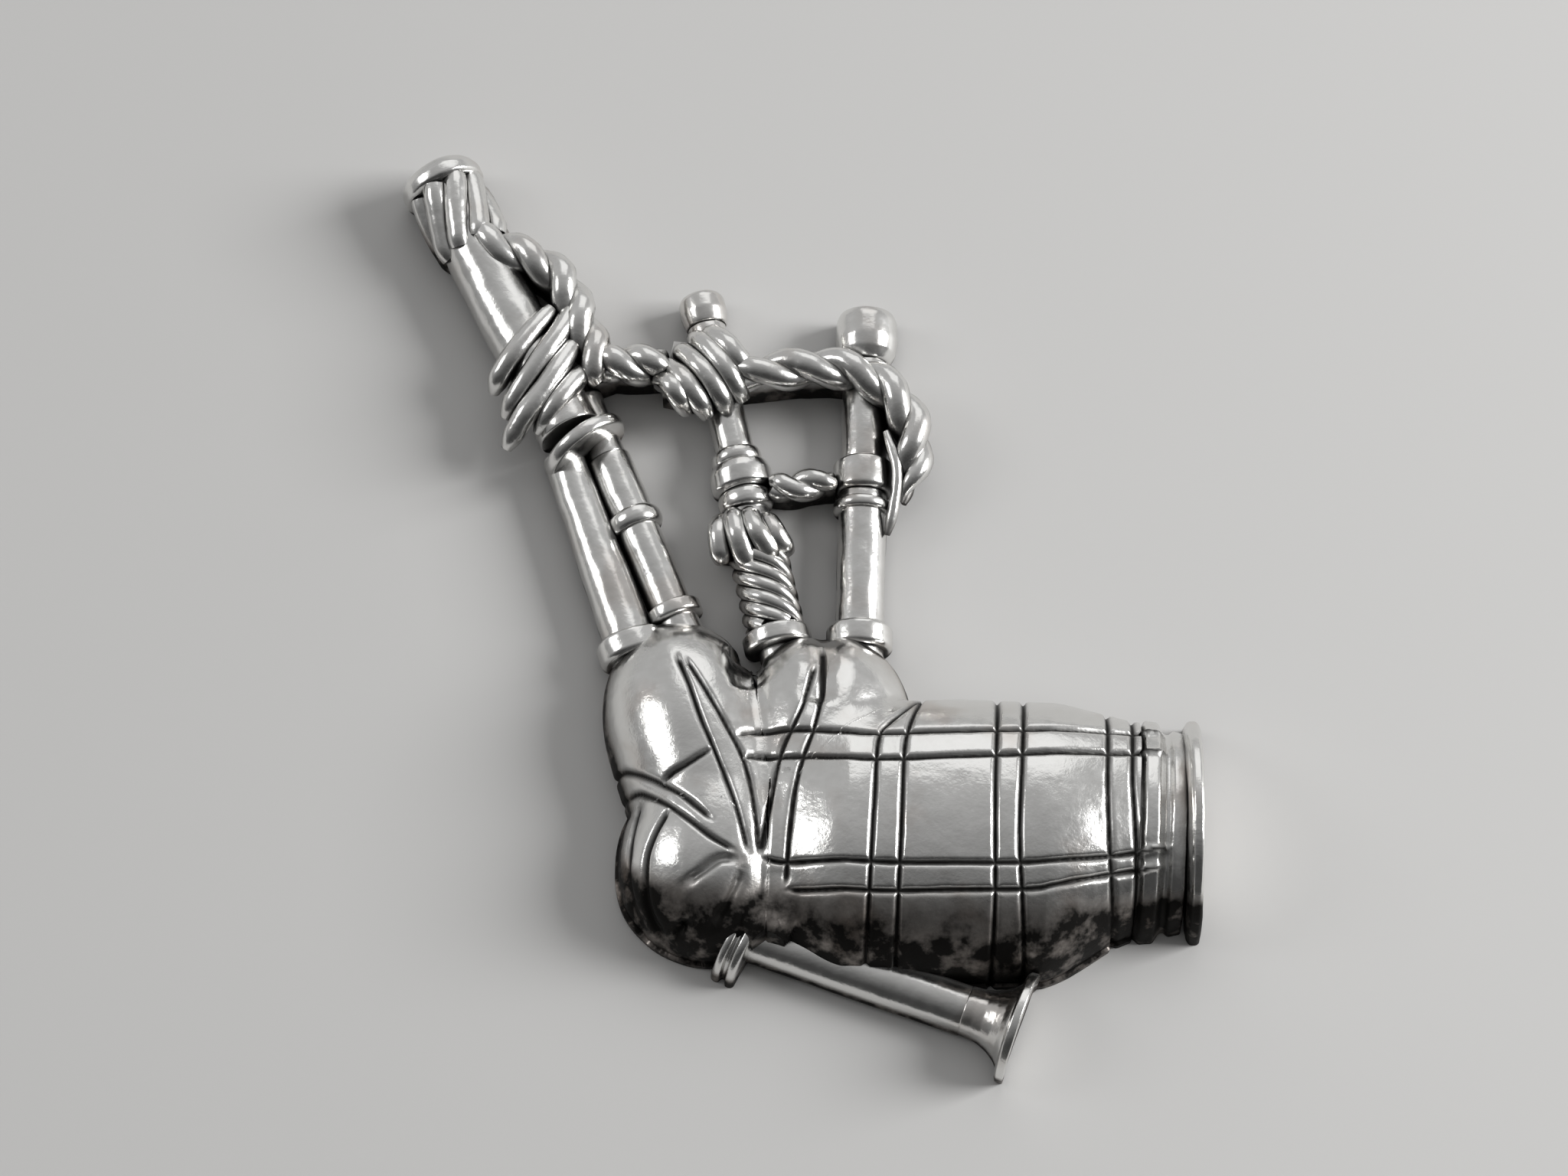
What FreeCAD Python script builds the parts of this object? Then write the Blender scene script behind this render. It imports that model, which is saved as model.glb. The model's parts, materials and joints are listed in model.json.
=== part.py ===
# Miniature Highland bagpipes: a flat-backed cast pewter ornament.
#
# Frame: the origin is the centre of the bag's flat back. +X runs along the bag to its flanged
# end, +Y the way the drones stand, +Z out of the flat back, which lies in the plane z = 0.
# Every piece is a separate solid. Pieces meet face to face: a tenon, a ring's bore or a socket
# is cut with the very solid that fills it.
import FreeCAD, Part
import os
from math import cos, pi, radians, sin, tan

Vector = FreeCAD.Vector
doc = FreeCAD.newDocument("bagpipes_ornament")
sheet = doc.addObject("Spreadsheet::Sheet", "sizes")

# Driving dimensions: millimetres and degrees.
SIZES = {
    # bag: an elliptical barrel, fullest in the middle, that narrows to its gathered end
    "bag_half_width": 4.25, "bag_height": 3.35, "bag_left": -5.3, "bag_full_from": -3.0,
    "bag_full_to": 2.6, "bag_right": 5.2, "bag_left_half_width": 3.3, "bag_left_height": 2.35,
    "bag_right_half_width": 3.2, "bag_right_height": 2.75, "bag_left_drop": -0.3,
    "bag_right_rise": 0.6, "bag_turn": 2.0,
    "gather_length": 1.3, "gather_shrink": 0.25, "flange_radius": 3.3, "flange_thickness": 0.45,
    # the three puffed lobes of the cover that the pipes stand in
    "drone_lobe_x": -7.1, "drone_lobe_y": 1.8, "drone_lobe_half_length": 4.8,
    "drone_lobe_radius": 2.55, "drone_lobe_turn": 111.0,
    "tenor_lobe_x": -3.8, "tenor_lobe_y": 2.3, "tenor_lobe_half_length": 3.85,
    "tenor_lobe_radius": 2.6, "tenor_lobe_turn": 91.0,
    "neck_lobe_x": -6.8, "neck_lobe_y": -1.05, "neck_lobe_half_length": 2.9,
    "neck_lobe_radius": 2.7, "neck_lobe_turn": 90.0,
    # chanter: from its stock on the neck, along the front of the bag; y is that of its front edge
    "chanter_x": -5.5, "chanter_y": -3.84, "chanter_turn": -17.6, "chanter_length": 6.3,
    "chanter_radius": 0.72, "chanter_axis_height": 0.35, "chanter_bell_length": 1.35,
    "chanter_bell_radius": 1.25, "sole_radius": 1.63, "sole_thickness": 0.3,
    "chanter_collar_radius": 1.5, "chanter_collar_thickness": 0.7, "chanter_collar_x": -6.05,
    "chanter_collar_y": -2.95, "chanter_collar_turn": -26.0,
    # bass drone and blowpipe, side by side out of one lobe
    "bass_x": -9.3, "bass_y": 5.07, "bass_turn": 111.6, "bass_foot_radius": 0.78,
    "bass_neck_radius": 0.6, "bass_lower_length": 6.9, "bass_axis_height": 0.55,
    "bass_collar_radius": 1.02, "bass_collar_thickness": 0.75,
    "blowpipe_x": -8.2, "blowpipe_y": 6.35, "blowpipe_turn": 114.4, "blowpipe_radius": 0.64,
    "blowpipe_lower_length": 5.6, "blowpipe_axis_height": 0.5, "blowpipe_upper_length": 2.1,
    "blowpipe_upper_radius": 0.58, "blowpipe_collar_radius": 0.85,
    "blowpipe_collar_thickness": 0.5, "blowpipe_ring_radius": 0.8, "blowpipe_ring_length": 0.6,
    "blowpipe_ring_place": 3.1, "pair_ring_radius": 1.35, "pair_ring_thickness": 0.45,
    "pair_ring_turn": 130.0, "pair_ring_right": 0.64, "pair_ring_up": 0.215,
    "bass_upper_turn": 118.5, "bass_upper_radius": 0.98, "bass_upper_length": 8.9,
    "bass_upper_height": 0.75, "bass_upper_right": 0.19, "bass_upper_up": 0.665,
    "bass_cap_radius": 1.25, "bass_cap_length": 0.75,
    # tenor drones: places are measured along each drone from the foot of its collar
    "tenor_1_x": -5.2, "tenor_1_y": 5.6, "tenor_1_turn": 104.4, "tenor_2_x": -2.9,
    "tenor_2_y": 5.65, "tenor_2_turn": 91.1, "tenor_axis_height": 0.5,
    "tenor_1_radius": 0.6, "tenor_1_lower_length": 4.5, "tenor_1_upper_radius": 0.56,
    "tenor_1_upper_length": 4.2, "tenor_1_collar_radius": 1.0, "tenor_1_collar_thickness": 0.6,
    "tenor_1_ring_radius": 0.8, "tenor_1_ring_length": 0.6, "tenor_1_ferrule_radius": 0.92,
    "tenor_1_ferrule_length": 0.85, "tenor_1_bead_radius": 0.74, "tenor_1_bead_length": 0.5,
    "tenor_1_cap_radius": 0.68, "tenor_1_cap_length": 1.0, "winding_radius": 0.88,
    "tenor_2_radius": 0.7, "tenor_2_lower_length": 3.6, "tenor_2_upper_radius": 0.66,
    "tenor_2_upper_length": 3.2, "tenor_2_collar_radius": 0.95, "tenor_2_collar_thickness": 0.75,
    "tenor_2_ring_radius": 0.85, "tenor_2_ring_length": 0.4, "tenor_2_ferrule_radius": 0.88,
    "tenor_2_ferrule_length": 1.05, "ferrule_gap": 0.25, "tenor_2_cap_radius": 0.92,
    "tenor_2_cap_length": 1.6,
    # cords: arch sections that stand on the flat back
    "cord_width": 1.1, "cord_height": 1.9, "run_height": 1.25,
    "cord_sleeve": 0.32, "cord_top_length": 2.3, "cord_wrap_length": 2.7, "cord_wrap_place": 1.3,
    "bow_length": 2.4, "bow_width": 2.0, "bow_height": 1.14, "bow_turn": -35.0,
    "knot_length": 1.8, "knot_width": 1.3, "knot_height": 0.55, "knot_turn": 15.0,
    "knot_offset": 0.25,
    # places of the cords: the bow over tenor 1's bead, the knot under its ring, the lower run
    # in the middle of that ring and at tenor 2's ferrule, the arc round that ferrule's top
    "bow_place": 1.9, "knot_drop": 0.95, "run_place": 0.65, "run_end_place": 0.05,
    "arc_place": 0.15, "arc_gap": 0.6, "arc_end_gap": 0.35, "loop_start": 0.5,
    "loop_width": 0.88, "arc_width": 1.0, "run_width": 0.72,
    # depth to which a pipe's tenon stands in its socket
    "tenon": 0.9,
}
for row, (alias, value) in enumerate(SIZES.items(), start=1):
    sheet.set("A%d" % row, alias)
    sheet.set("B%d" % row, repr(value))
    sheet.setAlias("B%d" % row, alias)
doc.recompute()


def size(alias):
    return float(sheet.get(alias))


def add(kind, label, **bound):
    """A document object whose named properties are bound to expressions over the sheet."""
    obj = doc.addObject(kind, label)
    obj.Label = label
    for prop, expression in bound.items():
        obj.setExpression(prop, expression)
    return obj


def cell(alias):
    return "sizes." + alias


def lying(x, y, turn, height=0.0):
    """Placement that lays a solid's own Z along the direction `turn` in the back's plane."""
    flat = FreeCAD.Rotation(Vector(0, 0, 1), turn)
    return FreeCAD.Placement(Vector(x, y, height), flat * FreeCAD.Rotation(Vector(0, 1, 0), 90))


class Line:
    """The axis of a pipe: a start point, a direction in plan and a height over the back."""

    def __init__(self, x, y, turn, height):
        self.x, self.y, self.turn, self.height = x, y, turn, height

    def at(self, along):
        angle = radians(self.turn)
        return self.x + along * cos(angle), self.y + along * sin(angle)

    def placement(self, along):
        x, y = self.at(along)
        return lying(x, y, self.turn, self.height)


def rod(label, line, along, length, radius):
    solid = add("Part::Cylinder", label, Radius=radius, Height=length)
    solid.Placement = line.placement(along)
    return solid


def taper(label, line, along, length, first, last):
    solid = add("Part::Cone", label, Radius1=first, Radius2=last, Height=length)
    solid.Placement = line.placement(along)
    return solid


def puff(label, x, y, turn, height, half_length, radius):
    """Half an ellipse turned about its long axis, which lies `height` over the back."""
    outline = Part.Ellipse(Vector(0, 0, 0), half_length, radius)
    tip = Vector(half_length, 0, 0)
    wire = Part.Wire([Part.ArcOfEllipse(outline, 0, pi).toShape(),
                      Part.LineSegment(-tip, tip).toShape()])
    solid = doc.addObject("Part::Feature", label)
    solid.Shape = Part.Face(wire).revolve(Vector(0, 0, 0), Vector(1, 0, 0), 360)
    flat = FreeCAD.Rotation(Vector(0, 0, 1), turn)
    solid.Placement = FreeCAD.Placement(Vector(x, y, height), flat)
    return solid


def lobe(label, prefix):
    return puff(label, size(prefix + "_x"), size(prefix + "_y"), size(prefix + "_turn"), 0,
                size(prefix + "_half_length"), size(prefix + "_radius"))


# Everything under the flat back is cut away with this block.
below = doc.addObject("Part::Box", "below_the_back")
below.Length, below.Width, below.Height = 60, 60, 20
below.Placement.Base = Vector(-30, -30, -20)

nodes = {}
whole = {}


def piece(name, solid, *neighbours):
    """Finish a sub-part: cut it with each neighbour it makes room for, then at the back."""
    whole[name] = solid
    tools = [whole[neighbour] for neighbour in neighbours] + [below]
    for number, tool in enumerate(tools):
        cut = doc.addObject("Part::Cut", "%s_cut_%d" % (name, number))
        cut.Base, cut.Tool = solid, tool
        solid = cut
    solid.Label = name
    nodes[name] = solid


# ---- pipe axes ----
chanter = Line(size("chanter_x"), size("chanter_y") + size("chanter_radius"),
               size("chanter_turn"),
               size("chanter_axis_height"))
stock = Line(size("chanter_collar_x"), size("chanter_collar_y"), size("chanter_collar_turn"),
             size("chanter_axis_height"))
bass = Line(size("bass_x"), size("bass_y"), size("bass_turn"), size("bass_axis_height"))
blowpipe = Line(size("blowpipe_x"), size("blowpipe_y"), size("blowpipe_turn"),
                size("blowpipe_axis_height"))
# The ring round both pipes and the upper bass are placed from the end of the lower bass.
bass_end_x, bass_end_y = bass.at(size("bass_lower_length"))
bass_top = Line(bass_end_x + size("bass_upper_right"), bass_end_y + size("bass_upper_up"),
                size("bass_upper_turn"), size("bass_upper_height"))
pair_ring = Line(bass_end_x + size("pair_ring_right"), bass_end_y + size("pair_ring_up"),
                 size("pair_ring_turn"), size("bass_axis_height"))
tenor_1 = Line(size("tenor_1_x"), size("tenor_1_y"), size("tenor_1_turn"),
               size("tenor_axis_height"))
tenor_2 = Line(size("tenor_2_x"), size("tenor_2_y"), size("tenor_2_turn"),
               size("tenor_axis_height"))


# ---- chanter ----
def make_chanter():
    length, bell = size("chanter_length"), size("chanter_bell_length")
    piece("chanter_body", rod("chanter_rod", chanter, -size("tenon"),
                              "sizes.chanter_length + sizes.tenon", cell("chanter_radius")))
    piece("chanter_bell", taper("chanter_flare", chanter, length, cell("chanter_bell_length"),
                                cell("chanter_radius"), cell("chanter_bell_radius")))
    piece("chanter_sole", rod("sole_disc", chanter, length + bell, cell("sole_thickness"),
                              cell("sole_radius")))
    piece("chanter_stock_collar",
          rod("stock_ring", stock, 0, cell("chanter_collar_thickness"),
              cell("chanter_collar_radius")), "chanter_body")


# ---- bass drone and blowpipe ----
def make_bass_and_blowpipe():
    tenon = size("tenon")
    piece("bass_drone_upper", rod("bass_upper_rod", bass_top, 0, cell("bass_upper_length"),
                                  cell("bass_upper_radius")))
    piece("bass_drone_lower",
          taper("bass_lower_rod", bass, -tenon, "sizes.bass_lower_length + sizes.tenon",
                cell("bass_foot_radius"), cell("bass_neck_radius")), "bass_drone_upper")
    piece("blowpipe_lower",
          rod("blowpipe_rod", blowpipe, -tenon, "sizes.blowpipe_lower_length + sizes.tenon",
              cell("blowpipe_radius")), "bass_drone_lower", "bass_drone_upper")
    piece("blowpipe_upper",
          rod("blowpipe_top_rod", blowpipe, size("blowpipe_lower_length"),
              cell("blowpipe_upper_length"), cell("blowpipe_upper_radius")),
          "bass_drone_lower", "bass_drone_upper")
    piece("drone_pair_ring",
          rod("pair_ring_disc", pair_ring, -size("pair_ring_thickness") / 2,
              cell("pair_ring_thickness"), cell("pair_ring_radius")),
          "bass_drone_upper", "bass_drone_lower", "blowpipe_lower", "blowpipe_upper")
    piece("bass_drone_cap", rod("bass_cap_disc", bass_top, size("bass_upper_length"),
                                cell("bass_cap_length"), cell("bass_cap_radius")))
    piece("bass_stock_collar",
          rod("bass_collar_disc", bass, 0, cell("bass_collar_thickness"),
              cell("bass_collar_radius")), "bass_drone_lower", "blowpipe_lower")
    piece("blowpipe_stock_collar",
          rod("blowpipe_collar_disc", blowpipe, 0, cell("blowpipe_collar_thickness"),
              cell("blowpipe_collar_radius")),
          "blowpipe_lower", "bass_drone_lower", "bass_stock_collar")
    piece("blowpipe_ring",
          rod("blowpipe_ring_disc", blowpipe, size("blowpipe_ring_place"),
              cell("blowpipe_ring_length"), cell("blowpipe_ring_radius")),
          "blowpipe_lower", "bass_drone_lower")


# ---- tenor drones ----
def stack(line, prefix, start, *parts):
    """Rings set end to end along a drone; each is named, with its length and radius cells."""
    for name in parts:
        solid = rod("%s_%s_disc" % (prefix, name), line, start,
                    cell("%s_%s_length" % (prefix, name)), cell("%s_%s_radius" % (prefix, name)))
        piece("%s_%s" % (prefix, name), solid)
        start += size("%s_%s_length" % (prefix, name))
    return start


def ring_on_lower(line, prefix, name, start, length):
    solid = rod("%s_%s_disc" % (prefix, name), line, start, length,
                cell("%s_%s_radius" % (prefix, name.replace("stock_", ""))))
    piece("%s_%s" % (prefix, name), solid, prefix + "_lower")


def make_tenor_1():
    ring_at = size("tenor_1_lower_length")
    piece("tenor_1_lower",
          rod("tenor_1_rod", tenor_1, -size("tenon"), "sizes.tenor_1_lower_length + "
              "sizes.tenor_1_ring_length + sizes.tenon", cell("tenor_1_radius")))
    ring_on_lower(tenor_1, "tenor_1", "stock_collar", 0, cell("tenor_1_collar_thickness"))
    ring_on_lower(tenor_1, "tenor_1", "ring", ring_at, cell("tenor_1_ring_length"))
    stack(tenor_1, "tenor_1", ring_at + size("tenor_1_ring_length"),
          "ferrule", "bead", "upper", "cap")


def make_tenor_2():
    ring_at = size("tenor_2_collar_thickness") + size("tenor_2_lower_length")
    piece("tenor_2_lower",
          rod("tenor_2_rod", tenor_2, -size("tenon"), "sizes.tenor_2_lower_length + "
              "sizes.tenor_2_collar_thickness + sizes.tenor_2_ring_length + "
              "sizes.ferrule_gap + sizes.tenon", cell("tenor_2_radius")))
    ring_on_lower(tenor_2, "tenor_2", "stock_collar", 0, cell("tenor_2_collar_thickness"))
    ring_on_lower(tenor_2, "tenor_2", "ring", ring_at, cell("tenor_2_ring_length"))
    stack(tenor_2, "tenor_2", ring_at + size("tenor_2_ring_length") + size("ferrule_gap"),
          "ferrule", "upper", "cap")


# ---- bag ----
def oval(label, along, rise, half_width, height):
    """A full elliptical section across the bag; its lower half is cut away at the back."""
    section = add("Part::Ellipse", label, MajorRadius=half_width, MinorRadius=height)
    section.Placement = FreeCAD.Placement(
        Vector(along, rise, 0),
        FreeCAD.Rotation(Vector(0, 1, 0), Vector(0, 0, 1), Vector(1, 0, 0), "ZXY"))
    return section


def loft(label, *sections):
    solid = doc.addObject("Part::Loft", label)
    solid.Sections = list(sections)
    solid.Solid, solid.Ruled = True, False
    return solid


def make_bag():
    left, right = size("bag_left"), size("bag_right")
    drop, rise = size("bag_left_drop"), size("bag_right_rise")
    barrel = loft(
        "bag_barrel",
        oval("bag_section_1", left, drop, cell("bag_left_half_width"), cell("bag_left_height")),
        oval("bag_section_2", size("bag_full_from"), drop / 2,
             "0.97 * sizes.bag_half_width", "0.97 * sizes.bag_height"),
        oval("bag_section_3", 0, 0, cell("bag_half_width"), cell("bag_height")),
        oval("bag_section_4", size("bag_full_to"), rise / 8,
             "0.985 * sizes.bag_half_width", cell("bag_height")),
        oval("bag_section_5", right, rise, cell("bag_right_half_width"),
             cell("bag_right_height")))
    end = right + size("gather_length")
    shrink = " - sizes.gather_shrink"
    sleeve = loft(
        "gather_sleeve",
        oval("gather_section_1", right, rise, cell("bag_right_half_width"),
             cell("bag_right_height")),
        oval("gather_section_2", end, rise, "sizes.bag_right_half_width" + shrink,
             "sizes.bag_right_height" + shrink))
    sleeve.Ruled = True
    plate = add("Part::Cylinder", "flange_plate", Radius=cell("flange_radius"),
                Height=cell("flange_thickness"))
    plate.Placement = lying(end, rise, size("bag_turn"))
    piece("bag_end_flange", plate)
    piece("bag_end_gather", sleeve, "bag_end_flange")
    piece("bag_body", barrel, "chanter_body", "chanter_bell", "chanter_sole",
          "chanter_stock_collar", "tenor_1_lower", "tenor_2_lower")


def make_lobes():
    piece("tenor_stock_lobe", lobe("tenor_puff", "tenor_lobe"), "bag_body", "tenor_1_lower",
          "tenor_2_lower", "tenor_1_stock_collar", "tenor_2_stock_collar")
    piece("drone_stock_lobe", lobe("drone_puff", "drone_lobe"), "bag_body", "tenor_stock_lobe",
          "bass_drone_lower", "blowpipe_lower", "bass_stock_collar", "blowpipe_stock_collar",
          "tenor_1_lower", "tenor_1_stock_collar", "chanter_body", "chanter_stock_collar")
    # The neck lobe stops at the middle of the chanter's stock collar.
    beyond = add("Part::Box", "beyond_the_collar", Length=cell("neck_lobe_half_length"),
                 Width="2 * sizes.neck_lobe_half_length", Height="2 * sizes.bag_half_width")
    x, y = stock.at(size("chanter_collar_thickness") / 2)
    turn = FreeCAD.Rotation(Vector(0, 0, 1), stock.turn)
    corner = turn.multVec(Vector(0, -size("neck_lobe_half_length"), -size("bag_half_width")))
    beyond.Placement = FreeCAD.Placement(Vector(x, y, 0) + corner, turn)
    whole["beyond_the_collar"] = beyond
    piece("neck_lobe", lobe("neck_puff", "neck_lobe"), "beyond_the_collar", "bag_body",
          "drone_stock_lobe", "chanter_body", "chanter_stock_collar")


# ---- cords ----
def arch(width, height, start, angle):
    """Face of a cord's section: straight sides under a half-round crown, across `angle`.
    Its foot reaches under the flat back, where it is trimmed."""
    half = width / 2
    side = Vector(-sin(angle), cos(angle), 0) * half
    up, down = Vector(0, 0, height - half), Vector(0, 0, -half)
    left, right = start + side, start - side
    crown = Part.Arc(left + up, start + Vector(0, 0, height), right + up).toShape()
    outline = [right + up, right + down, left + down, left + up]
    walls = [Part.LineSegment(a, b).toShape() for a, b in zip(outline, outline[1:])]
    return Part.Face(Part.Wire([crown] + walls))


def cord(label, points, width, height):
    """A cord along straight runs joined by tangent arcs, as one solid."""
    corners = [Vector(x, y, 0) for x, y in points]
    solids, start = [], corners[0]
    for before, corner, after in zip(corners, corners[1:], corners[2:]):
        into, out = corner - before, after - corner
        run = min(into.Length, out.Length)
        turn = into.getAngle(out)
        bend = 0.45 * run / tan(turn / 2)
        left_turn = into.cross(out).z > 0
        into.normalize()
        out.normalize()
        arc_start, arc_end = corner - into * 0.45 * run, corner + out * 0.45 * run
        angle = Vector(1, 0, 0).getAngle(into) * (1 if into.y >= 0 else -1)
        face = arch(width, height, start, angle)
        solids.append(face.extrude(arc_start - start))
        inward = Vector(-into.y, into.x, 0) * (1 if left_turn else -1)
        centre = arc_start + inward * bend
        axis = Vector(0, 0, 1 if left_turn else -1)
        solids.append(arch(width, height, arc_start, angle).revolve(centre, axis, turn * 180 / pi))
        print("  %s bend radius %.2f mm" % (label, bend))
        start = arc_end
    last = corners[-1] - start
    angle = Vector(1, 0, 0).getAngle(last) * (1 if last.y >= 0 else -1)
    solids.append(arch(width, height, start, angle).extrude(last))
    feature = doc.addObject("Part::Feature", label)
    joined = solids[0].multiFuse(solids[1:]).removeSplitter() if len(solids) > 1 else solids[0]
    feature.Shape = joined.Solids[0]
    return feature


def bundle(label, prefix, x, y, drone_radius):
    """A short thick gathering of cord, the bow or the knot, over a drone; its height is from there."""
    height = size("tenor_axis_height") + size(drone_radius) + size(prefix + "_height")
    angle, half = radians(size(prefix + "_turn")), size(prefix + "_length") / 2
    step_x, step_y = half * cos(angle), half * sin(angle)
    return cord(label, [(x - step_x, y - step_y), (x + step_x, y + step_y)],
                size(prefix + "_width"), height)


def sleeve_on_bass(label, along, length):
    return rod(label, bass_top, along, length, "sizes.bass_upper_radius + sizes.cord_sleeve")


def make_cords():
    width, height = size("cord_width"), size("cord_height")
    ring_1 = size("tenor_1_lower_length")
    bead_1 = (ring_1 + size("tenor_1_ring_length") + size("tenor_1_ferrule_length")
              + size("tenor_1_bead_length"))
    ferrule_2 = (size("tenor_2_collar_thickness") + size("tenor_2_lower_length")
                 + size("tenor_2_ring_length") + size("ferrule_gap"))
    drone = ("bass_drone_upper", "blowpipe_upper", "blowpipe_lower", "drone_pair_ring",
             "bass_drone_lower")
    top_at = size("bass_upper_length") - size("cord_top_length")
    piece("bass_cord_top", sleeve_on_bass("cord_top_sleeve", top_at, cell("cord_top_length")),
          "bass_drone_upper")
    piece("bass_cord_wrap", sleeve_on_bass("cord_wrap_sleeve", size("cord_wrap_place"),
                                           cell("cord_wrap_length")), *drone)
    loop_route = [bass_top.at(top_at + size("loop_start")), (-13.4, 17.85), (-12.3, 17.15), (-11.9, 16.0),
                  (-12.3, 14.9)]
    piece("bass_cord_loop", cord("cord_loop_run", loop_route, size("loop_width"), height),
          "bass_cord_top", "bass_cord_wrap", "bass_drone_upper")
    bow_x, bow_y = tenor_1.at(bead_1 + size("bow_place"))
    bow = bundle("bow_bundle", "bow", bow_x, bow_y, "tenor_1_upper_radius")
    piece("cord_bow", bow, "tenor_1_upper")
    short_route = [(-11.9, 14.6), (-11.0, 14.25), (-10.0, 14.2), (-8.4, 14.5)]
    piece("cord_bass_to_tenor_1", cord("cord_short_run", short_route, width, height),
          "bass_cord_wrap", "bass_cord_loop", "cord_bow", "tenor_1_upper", "bass_drone_upper")
    outer_x, _ = tenor_2.at(ferrule_2 + size("tenor_2_ferrule_length") + size("arc_place"))
    outer_x += size("tenor_2_upper_radius")
    arc_route = [(-7.2, 13.75), (-5.5, 14.15), (-3.5, 14.3), (outer_x + size("arc_gap"), 13.9),
                 (outer_x + size("arc_gap"), 11.9), (outer_x + size("arc_end_gap"), 10.5)]
    piece("cord_tenor_1_to_2", cord("cord_arc_run", arc_route, size("arc_width"), height), "cord_bow",
          "tenor_1_upper", "tenor_2_upper", "tenor_2_ferrule", "tenor_2_lower", "tenor_2_ring")
    knot_x, knot_y = tenor_1.at(ring_1 - size("knot_drop"))
    knot = bundle("knot_bundle", "knot", knot_x - size("knot_offset"), knot_y, "tenor_1_radius")
    piece("cord_knot", knot, "tenor_1_lower", "tenor_1_ring")
    winding = rod("winding_sleeve", tenor_1, size("tenor_1_collar_thickness"),
                  "sizes.tenor_1_lower_length - sizes.tenor_1_collar_thickness",
                  cell("winding_radius"))
    piece("tenor_1_winding", winding, "tenor_1_lower", "cord_knot")
    lower_route = [tenor_1.at(ring_1 + size("run_place")), (-5.2, 10.3), (-3.9, 10.55),
                   tenor_2.at(ferrule_2 + size("run_end_place"))]
    piece("cord_lower_run", cord("cord_lower_route", lower_route, size("run_width"),
                                 size("run_height")),
          "tenor_1_ferrule", "tenor_1_ring", "tenor_1_bead", "tenor_2_ferrule", "tenor_2_ring",
          "tenor_2_lower", "tenor_1_lower", "tenor_1_winding")


make_chanter()
make_bass_and_blowpipe()
make_tenor_1()
make_tenor_2()
make_bag()
make_lobes()
make_cords()
doc.recompute()

for obj in doc.Objects:
    if "Invalid" in obj.State or "Error" in obj.State:
        raise RuntimeError("%s failed: %s" % (obj.Label, obj.State))
os.makedirs("parts", exist_ok=True)
for name, obj in nodes.items():
    shape = obj.Shape
    if shape.isNull() or not shape.isValid() or not shape.Solids:
        raise RuntimeError("%s has no valid solid" % name)
    print("%-22s solids %d volume %.3f mm3" % (name, len(shape.Solids), shape.Volume))
for name, obj in nodes.items():
    obj.Shape.exportStep(os.path.join("parts", name + ".step"))
print(len(nodes), "nodes,", round(sum(obj.Shape.Volume for obj in nodes.values()), 2), "mm3")
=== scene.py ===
# Cast pewter bagpipes: an ornament with a flat back, modelled in millimetres and placed in metres.
# Every piece stands for one solid of the frame and keeps its place. The drones, the blowpipe and
# the chanter are turned shapes. The bag and its lobes are pillows with engraved double lines. The
# cords are ropes of laid strands. All of it is cut flat at the back, just over z = 0. X runs to
# the bag's flanged end, Y the way the drones stand, and Z out of the back.
import json
from math import atan2, cos, exp, pi, radians, sin, tau

import bmesh
import bpy
from mathutils import Matrix, Vector, kdtree, noise

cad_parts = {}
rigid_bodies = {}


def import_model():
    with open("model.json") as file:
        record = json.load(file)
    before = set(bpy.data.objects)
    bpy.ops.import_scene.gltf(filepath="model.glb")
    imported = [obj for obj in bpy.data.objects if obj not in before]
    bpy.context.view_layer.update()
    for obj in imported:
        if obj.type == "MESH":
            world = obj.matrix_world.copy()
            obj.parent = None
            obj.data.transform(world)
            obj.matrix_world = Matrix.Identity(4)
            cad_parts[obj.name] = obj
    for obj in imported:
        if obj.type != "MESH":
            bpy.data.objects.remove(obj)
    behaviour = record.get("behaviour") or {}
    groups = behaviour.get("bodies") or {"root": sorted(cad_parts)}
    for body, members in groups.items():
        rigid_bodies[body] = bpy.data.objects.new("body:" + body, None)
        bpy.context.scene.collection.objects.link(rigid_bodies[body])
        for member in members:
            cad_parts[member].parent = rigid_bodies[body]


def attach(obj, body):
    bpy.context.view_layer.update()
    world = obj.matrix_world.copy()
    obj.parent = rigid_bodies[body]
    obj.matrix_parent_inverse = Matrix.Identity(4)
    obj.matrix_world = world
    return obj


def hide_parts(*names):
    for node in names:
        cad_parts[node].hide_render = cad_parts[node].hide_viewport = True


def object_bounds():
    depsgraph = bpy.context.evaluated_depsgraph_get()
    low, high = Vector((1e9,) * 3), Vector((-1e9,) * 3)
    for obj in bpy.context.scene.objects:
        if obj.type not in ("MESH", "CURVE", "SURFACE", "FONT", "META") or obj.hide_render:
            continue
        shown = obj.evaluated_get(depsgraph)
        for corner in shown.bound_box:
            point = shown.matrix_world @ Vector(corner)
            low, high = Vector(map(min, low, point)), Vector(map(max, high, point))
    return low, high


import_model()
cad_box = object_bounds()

MM = 0.001
UP = Vector((0, 0, 1))
BACK_STEP = 0.001        # how far each piece's back lies over the one before, in mm
SHARP_EDGE = radians(50)
BELOW_BACK = -0.2        # how deep the webs and the grooves run before the back is cut, in mm
POLE_REACH = 1e-5        # how close the points of a pole are when they are merged
CORD_STRAND = 0.34       # radius of the single strands in the bow, the knot and the wrap
CASTING_WAVE = 1         # the one pattern of unevenness that all four forms of the bag share
scene = bpy.context.scene


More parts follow.
